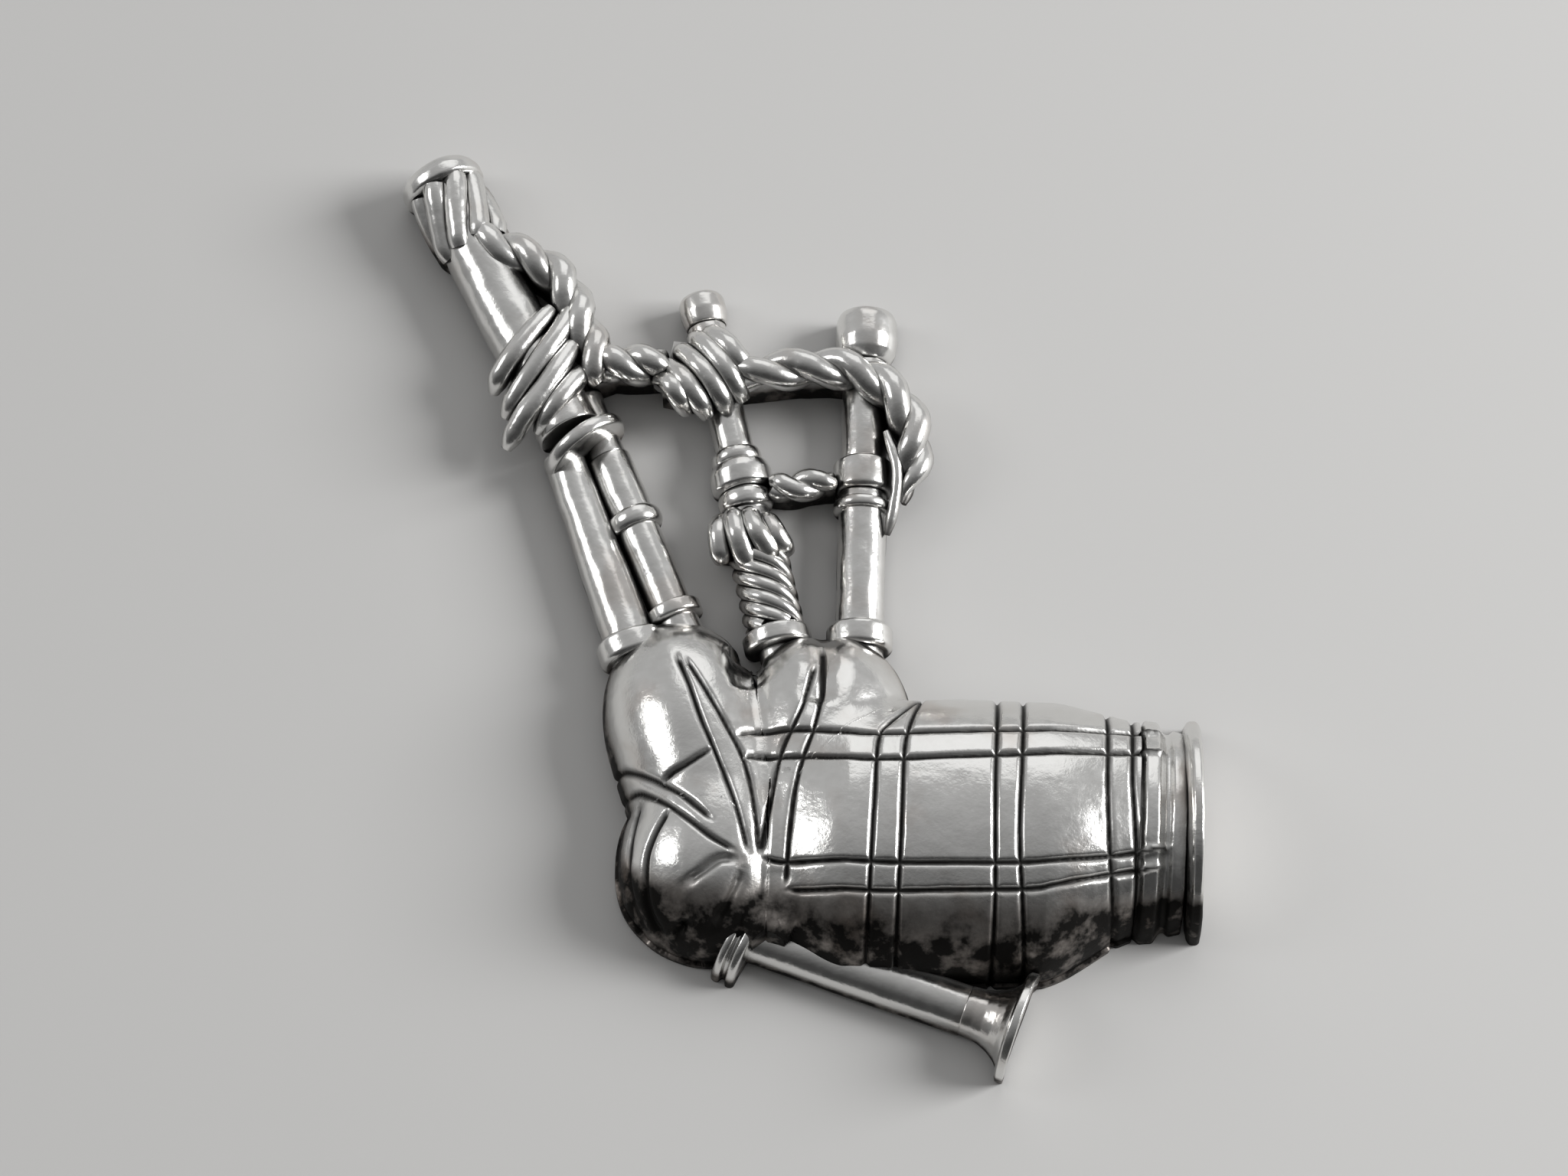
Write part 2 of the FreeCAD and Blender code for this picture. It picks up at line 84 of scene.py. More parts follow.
# ---- camera, light and floor ----
def make_camera():
    """A long lens over the front, aimed at the middle of the ornament."""
    middle = (Vector(cad_box[0]) + Vector(cad_box[1])) / 2
    place = Vector((-2.47, -50.59, 132.4)) * MM
    data = bpy.data.cameras.new("camera")
    data.lens, data.sensor_width = 114, 36
    data.clip_start, data.clip_end = 0.005, 5
    camera = bpy.data.objects.new("camera", data)
    camera.location = place
    camera.rotation_euler = (middle - place).to_track_quat("-Z", "Y").to_euler()
    scene.collection.objects.link(camera)
    scene.camera = camera


def softbox(name, place, size, power):
    """A square soft light, in metres, that faces the ornament."""
    data = bpy.data.lights.new(name, "AREA")
    data.size, data.energy = size, power
    light = bpy.data.objects.new(name, data)
    light.location = place
    light.rotation_euler = (-Vector(place)).to_track_quat("-Z", "Y").to_euler()
    scene.collection.objects.link(light)


def make_studio():
    """A key from the right, two weak fills, and a sky that is dark towards the front."""
    softbox("key_right", (0.25, 0.06, 0.13), 0.13, 1.0)
    softbox("back_light", (0.02, 0.24, 0.16), 0.20, 0.07)
    softbox("left_fill", (-0.24, 0.05, 0.16), 0.10, 0.10)
    world = bpy.data.worlds.new("studio")
    world.use_nodes = True
    tree = world.node_tree
    back = tree.nodes["Background"]
    direction = tree.nodes.new("ShaderNodeTexCoord")
    parts = tree.nodes.new("ShaderNodeSeparateXYZ")
    ramp = tree.nodes.new("ShaderNodeValToRGB")
    dark, light = ramp.color_ramp.elements
    dark.position, dark.color = 0.0, (0.05, 0.05, 0.05, 1)
    light.position, light.color = 1.0, (0.46, 0.46, 0.46, 1)
    tree.links.new(direction.outputs["Generated"], parts.inputs[0])
    tree.links.new(ranged(tree, parts.outputs["Y"], -0.75, 0.5, kind="LINEAR"), ramp.inputs["Fac"])
    tree.links.new(ramp.outputs["Color"], back.inputs["Color"])
    scene.world = world
    scene.view_settings.view_transform = "Standard"


def make_floor():
    """A plain pale floor under the flat back."""
    shape = bmesh.new()
    bmesh.ops.create_grid(shape, x_segments=1, y_segments=1, size=0.6)
    mesh = bpy.data.meshes.new("floor")
    shape.to_mesh(mesh)
    shape.free()
    floor = bpy.data.objects.new("floor", mesh)
    scene.collection.objects.link(floor)
    paint = bpy.data.materials.new("pale_floor")
    paint.use_nodes = True
    skin = paint.node_tree.nodes["Principled BSDF"]
    skin.inputs["Base Color"].default_value = (0.60, 0.595, 0.585, 1)
    skin.inputs["Roughness"].default_value = 0.7
    mesh.materials.append(paint)


# ---- pewter ----
# Colours, and how fine each noise is, in clouds per metre.
METAL_DULL, METAL_BRIGHT = (0.74, 0.735, 0.715, 1), (0.86, 0.855, 0.84, 1)
# The warm colour is tarnish and a painted warm reflection; the black is antiquing and painted shade.
TARNISH_AND_WARM_REFLECTION, ANTIQUE_BLACK_AND_SHADE = (0.48, 0.39, 0.33, 1), (0.012, 0.011, 0.010, 1)
CLOUDS, BLOTCHES, FINE_GRAIN, SPECKS = 520, 1100, 3400, 9000
# Metres: how far the black of a recess reaches, the depth of the pits, and the Y between which
# the band of painted shade rises from its usual height to its height along the front.
RECESS_REACH, PIT_DEPTH = 0.0011, 0.00003
FRONT_FROM, FRONT_TO = -0.0008, -0.003


def feed(tree, slot, value):
    """Sets an input to a plain value, or links it to another node's output."""
    if isinstance(value, (int, float, tuple)):
        slot.default_value = value
    else:
        tree.links.new(value, slot)


def maths(tree, operation, *values, clamp=False):
    node = tree.nodes.new("ShaderNodeMath")
    node.operation, node.use_clamp = operation, clamp
    for slot, value in zip(node.inputs, values):
        feed(tree, slot, value)
    return node.outputs[0]


def mixed(tree, share, first, second):
    """A colour between two others."""
    node = tree.nodes.new("ShaderNodeMix")
    node.data_type = "RGBA"
    colours = [slot for slot in node.inputs if slot.type == "RGBA"]
    feed(tree, node.inputs["Factor"], share)
    feed(tree, colours[0], first)
    feed(tree, colours[1], second)
    return [slot for slot in node.outputs if slot.type == "RGBA"][0]


def ranged(tree, value, low, high, first=0.0, last=1.0, kind="SMOOTHSTEP"):
    """Takes a value's range from low to high over to the range from first to last."""
    node = tree.nodes.new("ShaderNodeMapRange")
    node.interpolation_type = kind
    for slot, given in (("Value", value), ("From Min", low), ("From Max", high),
                        ("To Min", first), ("To Max", last)):
        feed(tree, node.inputs[slot], given)
    return node.outputs["Result"]


def grain(tree, place, scale, detail=3.0, rough=0.55):
    """Cloudy noise; `scale` is in clouds per metre."""
    node = tree.nodes.new("ShaderNodeTexNoise")
    node.inputs["Scale"].default_value = scale
    node.inputs["Detail"].default_value = detail
    node.inputs["Roughness"].default_value = rough
    tree.links.new(place, node.inputs["Vector"])
    return node.outputs["Fac"]


def antique_and_shaded_casting():
    """Shared finish: silvered highs, black in the lows that is partly antiquing and partly painted
    shade, faint pits and polishing marks.
    """
    tree = bpy.data.node_groups.new("antique_and_shaded_casting", "ShaderNodeTree")
    tree.interface.new_socket(name="Place", in_out="INPUT", socket_type="NodeSocketVector")
    for name, value in (("Open", 1.0), ("EngravedAndShaded", 0.0), ("Antiquing", 1.0), ("Warmth", 0.3),
                        ("Relief", 0.3), ("Tide", 0.001), ("Front Tide", 0.001)):
        made = tree.interface.new_socket(name=name, in_out="INPUT", socket_type="NodeSocketFloat")
        made.default_value = value
    for name, kind in (("Colour", "NodeSocketColor"), ("Roughness", "NodeSocketFloat"),
                       ("Metal", "NodeSocketFloat"), ("Normal", "NodeSocketVector")):
        tree.interface.new_socket(name=name, in_out="OUTPUT", socket_type=kind)
    into, out = tree.nodes.new("NodeGroupInput"), tree.nodes.new("NodeGroupOutput")
    place = into.outputs["Place"]
    clouds, fine = grain(tree, place, CLOUDS), grain(tree, place, FINE_GRAIN, 4.0, 0.6)
    specks = grain(tree, place, SPECKS, 2.0)
    # Recesses: antiquing black in the hollows, with painted shade where the surroundings shelter the
    # surface (the floor and the neighbouring pieces count too), and the engraved lines, which on the
    # cords also carry painted shade on their low parts.
    shelter = maths(tree, "SUBTRACT", 1.0, into.outputs["Open"], clamp=True)
    uneven = maths(tree, "MULTIPLY_ADD", clouds, 0.7, 0.65)
    held = maths(tree, "MULTIPLY", shelter, uneven)
    held = maths(tree, "MULTIPLY", held, into.outputs["Antiquing"])
    recess = ranged(tree, held, 0.34, 0.8)
    lines = maths(tree, "MULTIPLY", into.outputs["EngravedAndShaded"], 0.98)
    # Painted shade and dark reflection: the lowest flanks are darkened, in clouds, up to a height
    # called the tide, which is another one along the bag's front.
    parts = tree.nodes.new("ShaderNodeSeparateXYZ")
    tree.links.new(place, parts.inputs[0])
    tide = ranged(tree, parts.outputs["Y"], FRONT_FROM, FRONT_TO, into.outputs["Tide"],
                  into.outputs["Front Tide"])
    low = ranged(tree, parts.outputs["Z"], maths(tree, "MULTIPLY", tide, 0.45), tide, 1.0, 0.0)
    blotches = grain(tree, place, BLOTCHES, 4.0, 0.6)
    low_painted_shade = maths(tree, "MULTIPLY", low, maths(tree, "MULTIPLY_ADD", blotches, 2.6, -0.30))
    black = maths(tree, "MAXIMUM", maths(tree, "MAXIMUM", recess, lines), low_painted_shade, clamp=True)
    # Colour: bright metal, warm tarnish in clouds with a painted warm reflection low down, then the
    # black of antiquing and painted shade.
    warm = maths(tree, "MULTIPLY", ranged(tree, clouds, 0.5, 0.72), into.outputs["Warmth"])
    # The low flanks also get a painted warm reflection.
    warm = maths(tree, "MULTIPLY_ADD", low, 0.6, warm, clamp=True)
    tinted_metal = mixed(tree, warm, mixed(tree, fine, METAL_DULL, METAL_BRIGHT), TARNISH_AND_WARM_REFLECTION)
    colour = mixed(tree, black, tinted_metal, ANTIQUE_BLACK_AND_SHADE)
    # Gloss: polished where open, dull where black, and a little uneven everywhere.
    gloss = maths(tree, "MULTIPLY_ADD", fine, 0.16, 0.12)
    rough = maths(tree, "MULTIPLY_ADD", black, 0.35, gloss, clamp=True)
    metallic = maths(tree, "MULTIPLY_ADD", black, -0.15, 1.0)
    height = maths(tree, "MULTIPLY_ADD", specks, 0.35, fine)
    bump = tree.nodes.new("ShaderNodeBump")
    bump.inputs["Distance"].default_value = PIT_DEPTH
    tree.links.new(into.outputs["Relief"], bump.inputs["Strength"])
    tree.links.new(height, bump.inputs["Height"])
    for name, value in (("Colour", colour), ("Roughness", rough), ("Metal", metallic),
                        ("Normal", bump.outputs["Normal"])):
        tree.links.new(value, out.inputs[name])
    return tree


def pewter(name, finish, **amounts):
    """A pewter material: the shared finish with its own amounts. An underscore in an amount's
    name stands for a space."""
    material = bpy.data.materials.new(name)
    material.use_nodes = True
    tree = material.node_tree
    skin = tree.nodes["Principled BSDF"]
    group = tree.nodes.new("ShaderNodeGroup")
    group.node_tree = finish
    for slot, value in amounts.items():
        group.inputs[slot.replace("_", " ")].default_value = value
    place = tree.nodes.new("ShaderNodeTexCoord")
    tree.links.new(place.outputs["Object"], group.inputs["Place"])
    # Ambient occlusion drives the recess black: antiquing in the hollows, and painted shade where the
    # floor and other pieces crowd the surface.
    corner = tree.nodes.new("ShaderNodeAmbientOcclusion")
    corner.samples, corner.inputs["Distance"].default_value = 8, RECESS_REACH
    tree.links.new(corner.outputs["AO"], group.inputs["Open"])
    # The engraved lines' black, which on the cords also carries painted shade on their low parts.
    line = tree.nodes.new("ShaderNodeAttribute")
    line.attribute_name = "engraved_and_shaded"
    tree.links.new(line.outputs["Fac"], group.inputs["EngravedAndShaded"])
    for out, slot in (("Colour", "Base Color"), ("Roughness", "Roughness"),
                      ("Metal", "Metallic"), ("Normal", "Normal")):
        tree.links.new(group.outputs[out], skin.inputs[slot])
    return material


# ---- shaping ----
class Line:
    """The axis of a pipe: a start, a direction in plan and a height over the back."""

    def __init__(self, x, y, turn, height):
        self.x, self.y, self.turn, self.height = x, y, radians(turn), height
        self.ahead = Vector((cos(self.turn), sin(self.turn), 0))

    def at(self, along, height=None):
        start = Vector((self.x, self.y, self.height if height is None else height))
        return start + self.ahead * along

    def lay(self):
        """Lays a shape's own Z along the axis; the shape's own -X then points up."""
        return (Matrix.Translation((self.x, self.y, self.height))
                @ Matrix.Rotation(self.turn, 4, "Z") @ Matrix.Rotation(pi / 2, 4, "Y"))


def close_poles(shape):
    """Merges what a spin left on its axis, the shape's own Z."""
    poles = [vert for vert in shape.verts if vert.co.xy.length < POLE_REACH / 10]
    bmesh.ops.remove_doubles(shape, verts=poles, dist=POLE_REACH)


def turned(line, outline, rounding, steps=72, grain_length=0.16):
    """A piece turned on a pipe's axis from its outline of (place along, radius). Its corners are
    rounded, and no edge along it is longer than the grain length."""
    shape = bmesh.new()
    points = [shape.verts.new((radius, 0, along)) for along, radius in outline]
    for pair in zip(points, points[1:]):
        shape.edges.new(pair)
    bmesh.ops.bevel(shape, geom=points[1:-1], offset=rounding, segments=3, profile=0.5,
                    affect="VERTICES", material=-1, clamp_overlap=True)
    for edge in list(shape.edges):
        cuts = int(edge.calc_length() / grain_length)
        if cuts:
            bmesh.ops.subdivide_edges(shape, edges=[edge], cuts=cuts)
    bmesh.ops.spin(shape, geom=shape.verts[:] + shape.edges[:], cent=(0, 0, 0), axis=(0, 0, 1),
                   angle=tau, steps=steps, use_merge=True)
    close_poles(shape)
    shape.transform(line.lay())
    return shape


def plain(start, end, radius, end_radius=None):
    """The outline of a plain or tapered tube with closed ends."""
    return [(start, 0), (start, radius), (end, end_radius or radius), (end, 0)]


def soften(shape, amount, span, seed):
    """The slight unevenness of a casting: broad waves and a finer ripple."""
    shape.normal_update()
    shift = Vector((seed * 7.3, seed * 3.1, seed * 5.7))
    for vert in shape.verts:
        wave = noise.noise(vert.co / span + shift)
        ripple = noise.noise(vert.co / (span * 0.3) - shift)
        vert.co += vert.normal * amount * (wave + 0.35 * ripple)


def ledge(shape, height, out):
    """The thin rim that a casting has where it meets its flat back, and the neck over it."""
    shape.normal_update()
    for vert in shape.verts:
        outward = Vector((vert.normal.x, vert.normal.y, 0))
        if vert.co.z < height:
            vert.co += outward * out
        elif vert.co.z < height * 2:
            vert.co -= outward * out * 0.4


def flat_back(shape, level):
    """Cuts off what is lower than the level and closes the cut."""
    bmesh.ops.bisect_plane(shape, geom=shape.verts[:] + shape.edges[:] + shape.faces[:],
                           dist=1e-6, plane_co=(0, 0, level), plane_no=UP, clear_inner=True)
    rim = [edge for edge in shape.edges if edge.is_boundary]
    if rim:
        bmesh.ops.holes_fill(shape, edges=rim, sides=0)


def casting(node, shape, material):
    """Finishes a shape as the piece that stands for one solid of the frame. The pieces share
    one flat back, each a hair above the one before, so that no two faces lie in one plane."""
    done = sum(other.name.endswith("_casting") for other in scene.objects)
    flat_back(shape, done * BACK_STEP)
    bmesh.ops.recalc_face_normals(shape, faces=shape.faces)
    for face in shape.faces:
        face.smooth = True
    for edge in shape.edges:
        if len(edge.link_faces) == 2 and edge.calc_face_angle(0) > SHARP_EDGE:
            edge.smooth = False
    name = node + "_casting"
    mesh = bpy.data.meshes.new(name)
    shape.to_mesh(mesh)
    shape.free()
    mesh.transform(Matrix.Scale(MM, 4))
    mesh.materials.append(material)
    piece = bpy.data.objects.new(name, mesh)
    scene.collection.objects.link(piece)
    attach(piece, "root")
    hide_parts(node)


def through(points, spacing=0.03):
    """A smooth line through a few points, as places close enough together to measure from."""
    points = [Vector((*point, 0)) for point in points]
    padded = [2 * points[0] - points[1]] + points + [2 * points[-1] - points[-2]]
    places = []
    for a, b, c, d in zip(padded, padded[1:], padded[2:], padded[3:]):
        steps = max(2, int((c - b).length / spacing))
        for step in range(steps):
            t = step / steps
            places.append(((2 * b) + (c - a) * t + (2 * a - 5 * b + 4 * c - d) * t * t
                           + (3 * b - a - 3 * c + d) * t ** 3) / 2)
    return places + [points[-1]]


def antiquing_and_shade_mark(shape):
    """The layer that the pewter reads: 1 where the black stays. It holds the antiquing of the grooves
    and the painted shade of the cords' low parts.
    """
    layers = shape.verts.layers.float
    return layers.get("engraved_and_shaded") or layers.new("engraved_and_shaded")


def engrave(shape, lines, depth=0.13, half_width=0.078, black=1.0, fade=12):
    """Cuts grooves along lines given in plan, shallower over `fade` places at their ends, and
    marks them for the antiquing."""
    places, strengths = [], []
    for line in lines:
        track = through(line)
        places += track
        strengths += [min(1, 0.25 + index / fade, 0.25 + (len(track) - 1 - index) / fade)
                      for index in range(len(track))]
    tree = kdtree.KDTree(len(places))
    for index, place in enumerate(places):
        tree.insert(place, index)
    tree.balance()
    mark = antiquing_and_shade_mark(shape)
    shape.normal_update()
    for vert in shape.verts:
        if vert.co.z > BELOW_BACK:
            _, index, far = tree.find((vert.co.x, vert.co.y, 0))
            if far < 3 * half_width:
                wander = 1 + 0.22 * noise.noise(vert.co * 1.7)
                cut = exp(-(far / (half_width * wander)) ** 2) * strengths[index]
                vert.co -= vert.normal * depth * cut
                vert[mark] = max(vert[mark], min(1, 1.25 * cut) * black)


def paint_low_shade(shape, low, high):
    """Marks what is lower than `low` for painted shade, fading out up to `high`."""
    mark = antiquing_and_shade_mark(shape)
    for vert in shape.verts:
        share = min(1, max(0, (high - vert.co.z) / (high - low)))
        vert[mark] = max(vert[mark], share * share * (3 - 2 * share))


def eased(points, x):
    """A value at x, through a few (x, value) points: half a straight line, half an S-curve."""
    for (x0, v0), (x1, v1) in zip(points, points[1:]):
        if x <= x1:
            t = max(0.0, (x - x0) / (x1 - x0))
            t = t * t * (3 - 2 * t) * 0.5 + t * 0.5
            return v0 + (v1 - v0) * t
    return points[-1][1]


# ---- axes of the pipes ----
chanter = Line(-5.5, -3.12, -17.6, 0.35)
stock = Line(-6.05, -2.95, -26, 0)
bass = Line(-9.3, 5.07, 111.6, 0.55)
blowpipe = Line(-8.2, 6.35, 114.4, 0.5)
bass_top = Line(-11.65, 12.15, 118.5, 0.75)
pair_ring = Line(-11.2, 11.7, 130, 0.75)
tenor_1 = Line(-5.2, 5.6, 104.4, 0.5)
tenor_2 = Line(-2.9, 5.65, 91.1, 0.5)
bag_end = Line(5.2, 0.6, 0, 0)
flange = Line(6.5, 0.6, 2, 0)

# Engraved lines in plan, from one end to the other. Each band is a pair of them.
BAG_LINES = {
    "upper_pair": ([(-6.23, 2.2), (-5.45, 2.4), (-2.3, 2.3), (0.93, 2.5), (3.38, 2.7), (5.8, 2.95)],
                   [(-6.0, 1.5), (-5.45, 1.6), (-2.3, 1.4), (0.92, 1.62), (3.37, 1.88), (5.9, 2.2)]),
    "lower_pair": ([(-5.35, -1.49), (-4.46, -1.62), (-1.52, -1.71), (1.9, -1.58), (3.36, -1.36),
                    (4.55, -1.07), (6.05, -0.65)],
                   [(-4.66, -2.35), (-3.48, -2.45), (-1.52, -2.46), (1.91, -2.29), (2.88, -2.1),
                    (4.36, -1.61), (5.86, -1.16)]),
    "first_hoop": ([(-1.1, 4.0), (-1.51, 3.32), (-1.95, 2.75), (-2.25, 2.1), (-2.3, 0.1),
                    (-2.32, -1.75), (-2.35, -4.3)],
                   [(-1.0, 4.3), (-1.17, 3.5), (-1.4, 2.6), (-1.52, 1.6), (-1.52, -0.9),
                    (-1.52, -2.6), (-1.5, -4.3)]),
    "second_hoop": ([(1.1, 4.5), (1.09, 3.4), (1.06, 1.1), (1.11, -0.86), (1.18, -2.6), (1.2, -4.5)],
                    [(1.85, 4.5), (1.83, 3.4), (1.79, 1.1), (1.79, -0.86), (1.92, -2.4), (2.13, -4.3)]),
    "end_hoop": ([(4.22, 4.2), (4.24, 3.1), (4.24, 1.2), (4.34, -0.75), (4.5, -2.1), (4.65, -3.2)],
                 [(4.95, 4.2), (4.95, 3.2), (4.94, 1.3), (5.08, -0.6), (5.16, -1.8), (5.25, -3.2)]),
}
DRONE_PAIR = ([(-8.11, 4.66), (-7.71, 3.74), (-7.31, 2.67), (-6.82, 1.58), (-6.33, 0.46),
               (-6.03, -0.37), (-5.74, -1.34)],
              [(-7.82, 4.54), (-7.12, 3.42), (-6.52, 2.41), (-6.04, 1.55), (-5.74, 0.61),
               (-5.55, -0.39), (-5.4, -1.37)])
TENOR_PAIR = ([(-4.1, 4.6), (-4.22, 4.04), (-4.36, 3.39), (-4.66, 2.6), (-4.96, 1.87),
               (-5.15, 0.89), (-5.3, -0.31), (-5.4, -1.37)],
              [(-3.95, 5.3), (-3.92, 4.6), (-3.92, 3.58), (-4.07, 2.54), (-4.36, 1.57),
               (-4.56, 0.51), (-4.65, -0.66), (-4.7, -2.25)])
NECK_PAIR = ([(-9.9, 1.5), (-9.56, 1.45), (-9.02, 1.14), (-8.31, 0.7), (-7.61, 0.2), (-6.81, -0.52)],
             [(-9.5, 0.75), (-8.93, 0.61), (-8.21, 0.11), (-7.5, -0.48), (-6.81, -1.03),
              (-6.13, -1.38)])
NECK_ARCS = ([(-8.95, 0.35), (-9.13, -0.91), (-9.14, -1.82), (-8.96, -2.58), (-8.59, -3.2)],
             [(-8.05, -0.11), (-8.4, -0.83), (-8.61, -1.53), (-8.58, -2.47), (-8.35, -3.1),
              (-7.97, -3.55)])
NECK_CREASES = ([(-6.0, -1.6), (-6.52, -1.69), (-7.01, -2.04), (-7.51, -2.35)],
                [(-5.9, -1.9), (-6.0, -2.3), (-6.14, -2.6), (-6.34, -3.01), (-6.65, -3.31)])
SWIRL = [(-6.9, 1.7), (-7.6, 1.22), (-8.1, 0.93), (-8.31, 0.7)]
STOCK_VALLEY = [[(-3.95, 6.3), (-3.93, 5.2), (-3.95, 4.2), (-4.1, 3.2)],
                [(-6.3, 5.6), (-6.2, 4.6), (-6.0, 3.9)]]
NECK_HOLE = [(-7.8, -3.42), (-7.5, -3.38), (-7.25, -3.3)]
LINES = [line for pair in BAG_LINES.values() for line in pair]
LINES += [*DRONE_PAIR, *TENOR_PAIR, *NECK_PAIR, *NECK_ARCS, SWIRL]


# ---- bag ----
class Lobe:
    """A full egg shape whose long axis lies in the back's plane; `blunt` squares off its ends."""

    def __init__(self, x, y, turn, half_length, radius, blunt=2.8):
        self.line = Line(x, y, turn, 0)
        self.half_length, self.radius, self.blunt = half_length, radius, blunt

    def height(self, x, y):
        out = Vector((x - self.line.x, y - self.line.y, 0))
        along = out.dot(self.line.ahead) / self.half_length
        across = (out - self.line.ahead * out.dot(self.line.ahead)).length / self.radius
        left = 1 - abs(along) ** self.blunt - across ** 2
        return self.radius * left ** 0.5 if left > 0 else -1.0

    def shape(self):
        shape = ball(420, 230)
        for vert in shape.verts:
            spread = 1 - vert.co.z ** 2
            if spread > 1e-6:
                vert.co.xy *= ((1 - abs(vert.co.z) ** self.blunt) / spread) ** 0.5
        shape.transform(self.line.lay()
                        @ Matrix.Diagonal((self.radius, self.radius, self.half_length, 1)))
        return shape


class Bag:
    """The bag's pillow: its half widths, its heights and the Y of its middle, along X. `cap` is
    the share of its rings that close each end."""
    left, right, fullness, cap = -5.6, 5.2, 2.2, 0.018
    half_width = [(-5.6, 2.3), (-5.1, 3.2), (-3.0, 4.12), (0, 4.25), (2.6, 4.19), (5.2, 3.2)]
    top = [(-5.6, 1.6), (-5.1, 2.45), (-3.0, 3.2), (0, 3.35), (2.6, 3.35), (5.2, 2.75)]
    rise = [(-5.6, -0.3), (-3.0, -0.15), (0, 0), (2.6, 0.08), (5.2, 0.6)]

    def height(self, x, y):
        if not self.left < x < self.right:
            return -1.0
        across = abs(y - eased(self.rise, x)) / eased(self.half_width, x)
        left = 1 - across ** self.fullness
        return eased(self.top, x) * left ** (1 / self.fullness) if left > 0 else -1.0

    def shape(self):
        shape = ball(610, 290)
        shape.transform(Matrix.Rotation(pi / 2, 4, "Y"))
        for vert in shape.verts:
            share = atan2((vert.co.y ** 2 + vert.co.z ** 2) ** 0.5, -vert.co.x) / pi
            share_in = min(1, max(0, (share - self.cap) / (1 - 2 * self.cap)))
            x = self.left + (self.right - self.left) * share_in
            shut = min(1, share / self.cap, (1 - share) / self.cap)
            around = atan2(vert.co.z, vert.co.y)
            across, up, full = cos(around), sin(around), self.fullness
            reach = (abs(across) ** full + abs(up) ** full) ** (-1 / full) * shut
            vert.co = (x, eased(self.rise, x) + across * reach * eased(self.half_width, x),
                       up * reach * eased(self.top, x))
        return shape


def ball(columns, rings):
    """A round ball of radius 1 with its poles on Z, wrapped from a flat grid."""
    shape = bmesh.new()
    bmesh.ops.create_grid(shape, x_segments=columns, y_segments=rings, size=1.0)
    for vert in shape.verts:
        around, down = pi * vert.co.x, pi * (vert.co.y + 1) / 2
        vert.co = (sin(down) * cos(around), sin(down) * sin(around), -cos(down))
    edge = [vert for vert in shape.verts if vert.is_boundary]
    bmesh.ops.remove_doubles(shape, verts=edge, dist=POLE_REACH)
    return shape


BAG = Bag()
TENOR_LOBE = Lobe(-3.8, 2.3, 91, 3.95, 2.6)
DRONE_LOBE = Lobe(-7.1, 1.8, 111, 4.8, 2.55)
NECK_LOBE = Lobe(-6.8, -1.05, 90, 2.9, 2.7, 2.2)
SHOULDER = Lobe(-4.95, -2.75, 62, 1.1, 0.75)
SHOULDER_LIFT = 1.25     # how high over the back the shoulder's own middle plane lies
FORMS = (BAG, TENOR_LOBE, DRONE_LOBE, NECK_LOBE)


def run_together(shape, own, blend=0.6, tuck=0.05, skirt=0.05, least=0.3):
    """Draws a form's surface up to one flowing skin with its neighbours, as in one casting.
    Where a neighbour stands higher, the form's own surface is tucked under the skin. The skirt
    stays as it is, and a neighbour lower than the least height is left out."""
    for vert in shape.verts:
        if vert.co.z <= skirt:
            continue
        heights = sorted((form.height(vert.co.x, vert.co.y) for form in FORMS), reverse=True)
        skin, top = heights[0], heights[0]
        for other in [*heights[1:], SHOULDER.height(vert.co.x, vert.co.y) + SHOULDER_LIFT]:
            if other > least:
                near = max(0.0, blend - abs(skin - other)) / blend
                skin = max(skin, other) + near * near * blend / 4
        own_height = own.height(vert.co.x, vert.co.y)
        if own_height > 0:
            vert.co.z += skin - own_height - max(0.0, top - own_height - tuck) * 2


def bag_piece(node, form, material, rim=False):
    """One form of the bag, flowing into the others, with every line that crosses it."""
    shape = form.shape()
    run_together(shape, form)
    soften(shape, 0.035, 2.1, CASTING_WAVE)
    if rim:
        ledge(shape, 0.2, 0.07)
    engrave(shape, STOCK_VALLEY, depth=0.30, half_width=0.42, black=0.0)
    engrave(shape, NECK_CREASES, depth=0.16, half_width=0.15, black=0.55)
    engrave(shape, [NECK_HOLE], depth=0.3, half_width=0.15)
    engrave(shape, LINES)
    casting(node, shape, material)


def make_bag(material):
    bag_piece("bag_body", BAG, material, rim=True)
    bag_piece("tenor_stock_lobe", TENOR_LOBE, material)
    bag_piece("drone_stock_lobe", DRONE_LOBE, material)
    bag_piece("neck_lobe", NECK_LOBE, material, rim=True)


def make_gather(material):
    """The pleated sleeve and the round flange that close the bag's end."""
    radius, half_width = 2.75, 3.2
    outline = [(-0.1, 0), (-0.1, radius - 0.12), (0.02, radius - 0.12), (0.14, radius + 0.1),
               (0.5, radius + 0.06), (0.68, radius - 0.2), (0.8, radius - 0.24),
               (0.95, radius - 0.12), (1.3, radius - 0.2), (1.3, 0)]
    shape = turned(bag_end, outline, 0.05, 220, 0.06)
    for vert in shape.verts:
        vert.co.y = bag_end.y + (vert.co.y - bag_end.y) * half_width / radius
    soften(shape, 0.03, 1.6, 2)
    engrave(shape, LINES)
    casting("bag_end_gather", shape, material)
    rim = [(0, 0), (0, 2.85), (0.06, 3.15), (0.14, 3.28), (0.36, 3.3), (0.45, 3.2), (0.45, 3.02),
           (0.33, 2.9), (0.33, 0)]
    shape = turned(flange, rim, 0.05, 200, 0.12)
    soften(shape, 0.03, 1.5, 3)
    casting("bag_end_flange", shape, material)


